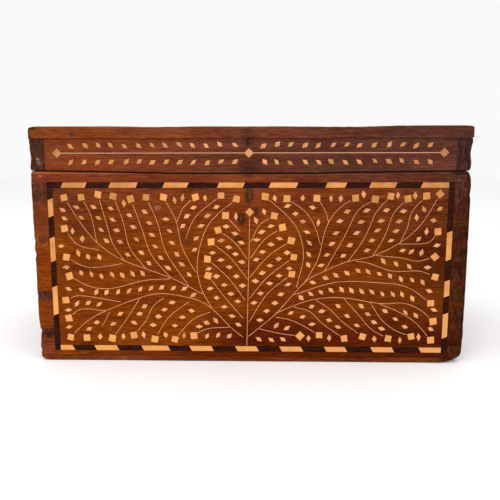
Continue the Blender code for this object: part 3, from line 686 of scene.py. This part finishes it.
# each stem runs from its bud to its root, in mm right of the middle and above the ground
stems = {
    "trunk": ((0.6, 142.8), (0.2, 110), (-0.8, 70), (-2.2, 10.5)),
    "leftHeart": ((-11.3, 154.7), (-30.5, 139), (-41.5, 123), (-48.3, 95), (-45, 72), (-35.4, 53)),
    "leftMain": ((-170.3, 156), (-154, 129.6), (-139, 112), (-116, 97), (-73, 81), (-43.2, 65.7)),
    "leftLow": ((-170.3, 23), (-155, 38), (-135.6, 49), (-106.6, 60.5), (-83, 66), (-52, 61),
                (-35.4, 52.2), (-17.5, 33.9), (-5.8, 24.2)),
    "rightHeart": ((14.9, 156.8), (34, 140.5), (46, 124), (50.3, 101), (44.2, 72.4)),
    "rightMain": ((173, 159.3), (158, 133), (139.5, 115.4), (114, 102.3), (91, 97), (70, 88),
                  (52, 77.5), (26, 48), (10.3, 34.1), (-0.5, 25)),
    "rightLow": ((172.1, 40.6), (158.6, 52.4), (143, 58), (123, 57.5), (88, 62.8), (64.5, 61.8),
                 (45.9, 56.6), (25.8, 47.8)),
    "leftRise1": ((-154.5, 156.4), (-146, 139), (-141.5, 113.7)),
    "leftRise2": ((-138.7, 158.7), (-132, 132.4), (-126.5, 112.8), (-116.3, 97)),
    "leftRise3": ((-124.8, 157.3), (-116.4, 134.3), (-111, 110), (-96.3, 89.3)),
    "leftRise4": ((-108.8, 154.6), (-99.8, 129.7), (-91, 103), (-73, 81)),
    "leftRise5": ((-94.4, 156.4), (-84.3, 132.5), (-77, 105), (-56.3, 73.3)),
    "leftRise6": ((-78.3, 156.4), (-67.2, 134.4), (-62, 110), (-49.7, 86.2)),
    "leftRise7": ((-48.9, 156.5), (-60, 147), (-66.6, 133.5)),
    "leftRise8": ((-25.5, 157.8), (-45.9, 141.8), (-54, 130), (-58.3, 118.2)),
    "leftSide1": ((-171.3, 127.2), (-159.4, 112), (-140, 107.5)),
    "leftSide2": ((-170.8, 100.4), (-154, 91.5), (-136.7, 91.4), (-118.7, 94.6)),
    "leftSide3": ((-168.8, 82.4), (-149, 72.3), (-128, 71), (-98, 78.5), (-74, 80.1)),
    "leftSide4": ((-173.3, 59.2), (-161.6, 63.5), (-145, 61.8), (-121, 57.6)),
    "leftSide5": ((-171.3, 41.7), (-159, 50.5), (-135.6, 49)),
    "leftHang1": ((-144, 31), (-138, 37), (-132.2, 47.8)),
    "leftHang2": ((-130.4, 22.3), (-118.3, 38), (-103.4, 60.6)),
    "leftHang3": ((-109.6, 25.4), (-97.7, 39.6), (-91, 53), (-80.1, 62.2)),
    "leftHang4": ((-89.6, 21.6), (-75.8, 43.3), (-56.5, 58.4)),
    "leftHang5": ((-70.5, 21.7), (-53.5, 40.7), (-36.8, 48.4)),
    "leftHang6": ((-52.3, 25.3), (-40, 32), (-18.2, 33.9)),
    "leftMid1": ((-21.5, 139.5), (-8.2, 125.2)),
    "leftMid2": ((-28.5, 126.1), (-13, 114.5), (-1.8, 99.1)),
    "leftMid3": ((-35.1, 115), (-17, 100), (-1.4, 80.2)),
    "leftMid4": ((-38.6, 99), (-19, 81), (-3.8, 60.1)),
    "leftMid5": ((-38.3, 83.4), (-22, 62), (-5.7, 42.7)),
    "rightMid1": ((23.3, 139.3), (10, 131), (1.7, 115.2)),
    "rightMid2": ((30.7, 128.7), (14, 117), (1.2, 99.7)),
    "rightMid3": ((39.1, 116.4), (18, 102), (0.6, 81.7)),
    "rightMid4": ((41.6, 101.2), (17, 82), (0, 61.1)),
    "rightMid5": ((39.7, 85.1), (17, 66), (-0.1, 38.9)),
    "rightRise1": ((34.7, 154.9), (51, 143.7), (60.2, 130), (65.8, 113)),
    "rightRise2": ((62, 155.6), (69.8, 143.8), (73, 133)),
    "rightRise3": ((96.9, 155.6), (82.6, 146.5), (71, 129), (63.8, 99.4), (52, 77.5)),
    "rightRise4": ((114.9, 154.7), (99.2, 143.8), (88, 121), (70.1, 88.1)),
    "rightRise5": ((128.8, 157.4), (115.8, 142.2), (106, 119), (91.3, 96.9)),
    "rightRise6": ((144.2, 155), (132.1, 142.2), (124.5, 121), (114.1, 102.3)),
    "rightRise7": ((160.8, 157.4), (148.7, 143.9), (144.5, 128), (138.5, 114.5)),
    "rightSide1": ((172.6, 125.1), (163.5, 114.8), (137.7, 113.5)),
    "rightSide2": ((171, 101.8), (155.1, 97.8), (138.2, 100.9), (117.1, 102.8)),
    "rightSide3": ((171.9, 82.9), (157, 88.4), (132.8, 88.3), (111.2, 95.4), (98.9, 97.5)),
    "rightSide4": ((169.1, 58.2), (147, 73), (122.5, 77.2), (81, 77.5), (41.1, 65.2)),
    "rightHang1": ((170.5, 22.6), (156.2, 38.9), (140, 49.4), (121, 57.5)),
    "rightHang2": ((152.1, 25.9), (136.1, 32.3), (123.7, 42.6), (112.9, 58.5)),
    "rightHang3": ((130.8, 23.7), (114.6, 32.9), (101.8, 47.3), (88.3, 62.5)),
    "rightHang4": ((106.8, 25.6), (88, 39.5), (75.5, 51.9), (62.7, 60.5)),
    "rightHang5": ((89.6, 23.4), (69.6, 37.4), (56.9, 49.4), (42.2, 53.7)),
    "rightHang6": ((66, 26.7), (50.8, 35.7), (38.4, 41.3), (25.1, 43.9)),
    "rightHang7": ((48.1, 25.6), (29.1, 28), (9.4, 32.5)),
}
# buds set on their point, and how far each is turned
setAsDiamond = {"trunk": 45, "rightMain": 42, "rightSide2": 40, "rightHang7": 48}
leafless = ("leftHang1",)  # a loose twig with no bud
extraBuds = ((-154.9, 22.6),)
# a leaf that has come out: the first stem of its lane, and its place in the lane
lost = (("leftRise5", 0),)

# leaves between two stems: count, then for the first and the last leaf the share of the way
# from bud to root, and the lean
lanes = (
    ("leftRise1", "leftRise2", 4, 0.18, 0.80, -26, -35),
    ("leftRise3", "leftRise4", 5, 0.21, 0.83, -24, -38),
    ("leftRise4", "leftRise5", 6, 0.15, 0.81, -24, -32),
    ("leftRise5", "leftRise6", 7, 0.13, 0.94, -12, -36),
    ("leftRise7", "leftRise8", 3, 0.41, 0.89, 15, 38),
    ("leftRise8", "leftHeart", 5, 0.17, 0.72, 14, 38),
    ("leftSide1", "leftSide2", 3, 0.33, 0.76, 110, 116),
    ("leftSide4", "leftSide5", 3, 0.25, 0.71, 48, 34),
    ("leftLow", "leftHang1", 2, 0.06, 0.16, 32, 20),
    ("leftHang1", "leftHang2", 2, 0.36, 0.74, 26, 24),
    ("leftHang2", "leftHang3", 3, 0.38, 0.79, -15, 25),
    ("leftHang3", "leftHang4", 4, 0.30, 0.89, -3, 12),
    ("leftHang4", "leftHang5", 3, 0.34, 0.82, -4, -18),
    ("leftHang5", "leftHang6", 3, 0.46, 0.89, 5, -55),
    ("leftMid1", "leftMid2", 3, 0.18, 0.90, -5, -14),
    ("leftMid2", "leftMid3", 4, 0.17, 0.81, 2, -10),
    ("leftMid3", "leftMid4", 5, 0.07, 0.89, 12, 0),
    ("leftMid4", "leftMid5", 5, 0.04, 0.82, 12, -8),
    ("rightHeart", "rightRise1", 7, 0.16, 0.98, 22, -62),
    ("rightRise3", "rightRise4", 6, 0.23, 0.86, 14, 20),
    ("rightRise4", "rightRise5", 5, 0.24, 0.85, 15, 24),
    ("rightRise5", "rightRise6", 5, 0.25, 0.86, 14, 20),
    ("rightRise6", "rightRise7", 4, 0.32, 0.82, 13, 20),
    ("rightRise7", "rightMain", 2, 0.11, 0.18, 125, 95),
    ("rightMain", "rightSide1", 2, 0.15, 0.23, 90, 50),
    ("rightSide1", "rightSide2", 3, 0.34, 0.71, 66, 24),
    ("rightSide2", "rightSide3", 3, 0.38, 0.75, 130, 124),
    ("rightSide4", "rightLow", 12, 0.16, 0.885, 122, 136),
    ("rightHang1", "rightHang2", 3, 0.34, 0.77, -20, -30),
    ("rightHang2", "rightHang3", 4, 0.35, 0.87, -12, -34),
    ("rightHang3", "rightHang4", 3, 0.37, 0.81, -12, -36),
    ("rightHang4", "rightHang5", 4, 0.30, 0.89, -24, 28),
    ("rightHang5", "rightHang6", 3, 0.43, 0.89, 4, 26),
    ("rightHang6", "rightHang7", 2, 0.53, 0.79, 32, 55),
    ("rightMid1", "rightMid2", 3, 0.21, 0.72, 10, 12),
    ("rightMid2", "rightMid3", 4, 0.17, 0.80, -16, 8),
    ("rightMid3", "rightMid4", 5, 0.11, 0.84, 12, 5),
    ("rightMid4", "rightMid5", 5, 0.07, 0.86, 2, 8),
)
# leaves that follow a line of their own: its points, count, lean of the first and last
rows = (
    (((-158.8, 146.5), (-155.5, 137.6)), 2, -25, -35),
    (((-127.8, 146), (-123.6, 127), (-120, 115.6)), 4, -20, -24),
    (((-113.5, 102.8), (-113.4, 102.8)), 1, -28, -28),
    (((-163.9, 124.5), (-155.7, 117.5)), 2, 82, 98),
    (((-157.5, 86), (-148, 83.6), (-128, 83.2), (-99.5, 85.5)), 7, 108, 125),
    (((-170, 70), (-158, 70)), 2, -30, -40),
    (((-144, 67), (-123, 67), (-91, 72), (-61, 70), (-52, 65)), 10, 66, 30),
    (((-37, 71), (-24, 54), (-10, 36)), 5, 14, -20),
    (((36, 75), (24, 58), (10, 41)), 5, 16, 0),
    (((59, 77), (59, 77.1)), 1, -12, -12),
    (((146, 49.7), (155.4, 45.9)), 2, 122, 126),
    (((71, 81), (100, 88.4), (132, 83), (161, 78.5)), 10, 150, 118),
    (((58, 147), (64, 133)), 2, -5, 85),
    (((-172, 145), (-171, 137)), 2, -35, -15),
    (((-175, 111), (-171, 91)), 2, 0, 10),
    (((-171, 50), (-172, 33)), 2, 0, 5),
    (((173, 146), (168, 135)), 2, 30, -5),
    (((172, 113), (165, 92)), 2, 20, 0),
    (((167, 70), (173, 50), (170, 33)), 3, -15, -18),
    (((-68, 154), (-61, 156)), 2, 90, 80),
    (((-40, 25), (-19, 26)), 3, 66, 42),
    (((9, 22), (32, 22)), 3, -42, -38),
    (((-12, 139), (6, 135)), 2, 85, 114),
    (((74, 155), (83, 155)), 2, 90, 80),
)
# single leaves that stand upright between the buds: height, then places along it
upright = (
    (151, (-115,)), (156, (-40, 24)), (155, (49,)), (143, (14,)), (159, (104,)), (158, (135, 151)),
    (23.5, (-142, -119, 57, 76, 118)), (25.5, (-100, -80, -62, 159)), (22, (142,)),
)

chance = random.Random(inlay["seed"])


def smoothLine(points, pieces=10):
    # a line through all the points, bending as little as it can
    points = [Vector(p) for p in points]
    points = [2 * points[0] - points[1], *points, 2 * points[-1] - points[-2]]
    line = []
    for a, b, c, d in zip(points, points[1:], points[2:], points[3:]):
        for piece in range(pieces):
            t = piece / pieces
            bend = (2 * a - 5 * b + 4 * c - d) * t ** 2 + (3 * b - a - 3 * c + d) * t ** 3
            line.append(0.5 * (2 * b + (c - a) * t + bend))
    return line + [points[-2]]


def pointAt(line, share):
    lengths = [(b - a).length for a, b in zip(line, line[1:])]
    left = share * sum(lengths)
    for length, a, b in zip(lengths, line, line[1:]):
        if left <= length and length > 0:
            return a.lerp(b, left / length)
        left -= length
    return line[-1].copy()


def letIn(bm, before, faces, layer, tone, front, lift=0.0):
    # gives a flat shape its thickness, with its outer face just proud of the wood
    thick = bmesh.ops.extrude_face_region(bm, geom=faces)["geom"]
    back = [g for g in thick if isinstance(g, bmesh.types.BMVert)]
    bmesh.ops.translate(bm, verts=back, vec=(0, (inlay["proud"] + inlay["sunk"]) * mm, 0))
    bm.verts.ensure_lookup_table()
    fresh = bm.verts[before:]
    for v in fresh:
        v[layer] = tone
    bmesh.ops.translate(bm, verts=fresh, vec=(0, front - (inlay["proud"] + lift) * mm, 0))


def addLozenge(bm, layer, centre, length, width, lean, front):
    before = len(bm.verts)
    shape = bmesh.ops.create_circle(bm, cap_ends=True, segments=4, radius=0.5)["verts"]
    for v in shape:
        v.co.x = v.co.x * length + chance.uniform(-1, 1) * inlay["wobble"]
        v.co.y = v.co.y * width + chance.uniform(-1, 1) * inlay["wobble"]
    for angle, axis in ((math.radians(lean), "Z"), (math.pi / 2, "X")):  # leant, then stood up
        turn = Matrix.Rotation(angle, 3, axis)
        bmesh.ops.rotate(bm, verts=shape, cent=(0, 0, 0), matrix=turn)
    bmesh.ops.scale(bm, verts=shape, vec=(mm, mm, mm))
    bmesh.ops.translate(bm, verts=shape, vec=(centre[0] * mm, 0, centre[1] * mm))
    tone = chance.triangular(*inlay["shades"])
    letIn(bm, before, shape[0].link_faces[:], layer, tone, front)


def addLeaf(bm, layer, centre, lean, front):
    x, z = (c + chance.gauss(0, inlay["drift"]) for c in centre)
    length = inlay["leafLength"] * chance.uniform(*inlay["leafLengths"])
    width = inlay["leafWidth"] * chance.uniform(*inlay["leafWidths"])
    addLozenge(bm, layer, (x, z), length, width, lean + chance.gauss(0, inlay["turn"]), front)


def addBud(bm, layer, centre, lean, front):
    across = inlay["budSide"] * math.sqrt(2) * chance.uniform(*inlay["budSides"])
    addLozenge(bm, layer, centre, across, across, lean + 45, front)


def addStem(bm, layer, line, number, front):
    # a strip of grid bent along the line, from a gap off its bud to its root
    before, facesBefore = len(bm.verts), len(bm.faces)
    length = sum((b - a).length for a, b in zip(line, line[1:]))
    start, count = inlay["budGap"] / length, 2 * len(line)
    line = [pointAt(line, start + (1 - start) * k / count) for k in range(count + 1)]
    cells = max(3, int(length / inlay["stemStep"]))
    strip = bmesh.ops.create_grid(bm, x_segments=cells, y_segments=1, size=0.5)["verts"]
    for v in strip:
        share, hand = v.co.x + 0.5, math.copysign(0.5, v.co.y)
        ahead, behind = min(share + inlay["look"], 1), max(share - inlay["look"], 0)
        along = (pointAt(line, ahead) - pointAt(line, behind)).normalized()
        swell = math.sin(inlay["swells"] * share + inlay["swellShift"] * number)
        width = inlay["stemWidth"] * (1 + inlay["swell"] * swell)
        edge = pointAt(line, share) + Vector((-along.y, along.x)) * hand * width
        v.co = (edge.x * mm, 0, edge.y * mm)
    bm.faces.ensure_lookup_table()
    letIn(bm, before, bm.faces[facesBefore:], layer, 0.0, front, number * inlay["apart"])


def startInlay():
    bm = bmesh.new()
    return bm, bm.verts.layers.float.new("tone")


def finishInlay(bm, name, material):
    bmesh.ops.recalc_face_normals(bm, faces=bm.faces[:])
    piece = settled(bm, name)
    finish(piece, material)
    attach(piece, "root")


lines = {name: smoothLine(points) for name, points in stems.items()}
caseFace, lidFace = (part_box(name)[0].y for name in ("front_board", "lid_front_rail"))

bm, layer = startInlay()
for number, line in enumerate(lines.values()):
    addStem(bm, layer, line, number, caseFace)
finishInlay(bm, "field_stems", boneStem)

bm, layer = startInlay()
for name, line in lines.items():
    if name not in leafless:
        turn = chance.uniform(-inlay["budTurn"], inlay["budTurn"])
        addBud(bm, layer, line[0], setAsDiamond.get(name, turn), caseFace)
for centre in extraBuds:
    addBud(bm, layer, centre, inlay["extraTurn"], caseFace)
finishInlay(bm, "field_buds", boneTile)

bm, layer = startInlay()
for first, second, count, start, end, leanStart, leanEnd in lanes:
    for k in range(count):
        t = k / (count - 1)
        share = start + (end - start) * t
        centre = (pointAt(lines[first], share) + pointAt(lines[second], share)) / 2
        if (first, k) not in lost:
            addLeaf(bm, layer, centre, leanStart + (leanEnd - leanStart) * t, caseFace)
for points, count, leanStart, leanEnd in rows:
    row = smoothLine(points)
    for k in range(count):
        t = k / max(count - 1, 1)
        addLeaf(bm, layer, pointAt(row, t), leanStart + (leanEnd - leanStart) * t, caseFace)
for height, places in upright:
    for place in places:
        addLeaf(bm, layer, (place, height), inlay["uprightLean"], caseFace)
finishInlay(bm, "field_leaves", boneLeaf)

lidLeaves = {
    "first": 13.2, "pitch": 12.45, "count": 13, "lean": 42, "driftX": 0.5, "driftZ": 0.3,
    "rows": ((203.0, 1), (188.2, -1)),  # height, and the way that its leaves lean
}
bm, layer = startInlay()
for hand in (-1, 1):
    for k in range(lidLeaves["count"]):
        for height, slope in lidLeaves["rows"]:
            place = hand * (lidLeaves["first"] + lidLeaves["pitch"] * k)
            centre = (place + chance.gauss(0, lidLeaves["driftX"]),
                      height + chance.gauss(0, lidLeaves["driftZ"]))
            addLeaf(bm, layer, centre, hand * slope * lidLeaves["lean"], lidFace)
finishInlay(bm, "lid_leaves", boneLeaf)
print("inlay laid:", len(lines), "stems")

studio = {"floorSize": 8.0, "floor": (0.97, 0.97, 0.97, 1), "floorRoughness": 0.9, "sky": 0.95}
bm = bmesh.new()
bmesh.ops.create_grid(bm, x_segments=2, y_segments=2, size=studio["floorSize"])
floor = settled(bm, "floor")
pale, _, shader = newMaterial("pale_floor", studio["floorRoughness"], 0.0)
shader.inputs["Base Color"].default_value = studio["floor"]
floor.data.materials.append(pale)
floor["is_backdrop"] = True

world = bpy.data.worlds.new("studio")
world.use_nodes = True
sky = world.node_tree.nodes["Background"].inputs
sky["Color"].default_value = (1, 1, 1, 1)
sky["Strength"].default_value = studio["sky"]
bpy.context.scene.world = world

lamps = {  # place, size and power in watts; each looks at the middle of the box
    "key": {"at": (-1.0, -1.7, 0.8), "size": 1.2, "watts": 14},
    "top": {"at": (0.1, -1.1, 1.8), "size": 1.6, "watts": 11},
}
middle = (cadLow + cadHigh) / 2
for name, lamp in lamps.items():
    data = bpy.data.lights.new(name, "AREA")
    data.size, data.energy = lamp["size"], lamp["watts"]
    light = bpy.data.objects.new(name, data)
    light.location = lamp["at"]
    light.rotation_euler = (middle - light.location).to_track_quat("-Z", "Y").to_euler()
    bpy.context.scene.collection.objects.link(light)

view = {  # the photograph's camera: place, lens and sensor in mm, and where it looks, in degrees
    "at": (0.0148, -0.6423, 0.1843), "lens": 40.32, "sensor": 36, "near": 0.01,
    "down": 8.508, "left": 1.546, "roll": -0.059,
}
cameraData = bpy.data.cameras.new("camera")
cameraData.lens, cameraData.sensor_width = view["lens"], view["sensor"]
cameraData.clip_start = view["near"]
camera = bpy.data.objects.new("camera", cameraData)
camera.location = view["at"]
down, left, roll = (math.radians(view[turn]) for turn in ("down", "left", "roll"))
ahead = Vector((-math.sin(left) * math.cos(down), math.cos(left) * math.cos(down),
                -math.sin(down)))
turn = ahead.to_track_quat("-Z", "Y").to_matrix() @ Matrix.Rotation(roll, 3, "Z")
camera.rotation_euler = turn.to_euler()
bpy.context.scene.collection.objects.link(camera)
bpy.context.scene.camera = camera
bpy.context.scene.view_settings.view_transform = "Standard"
print("camera and light placed")

low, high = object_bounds()
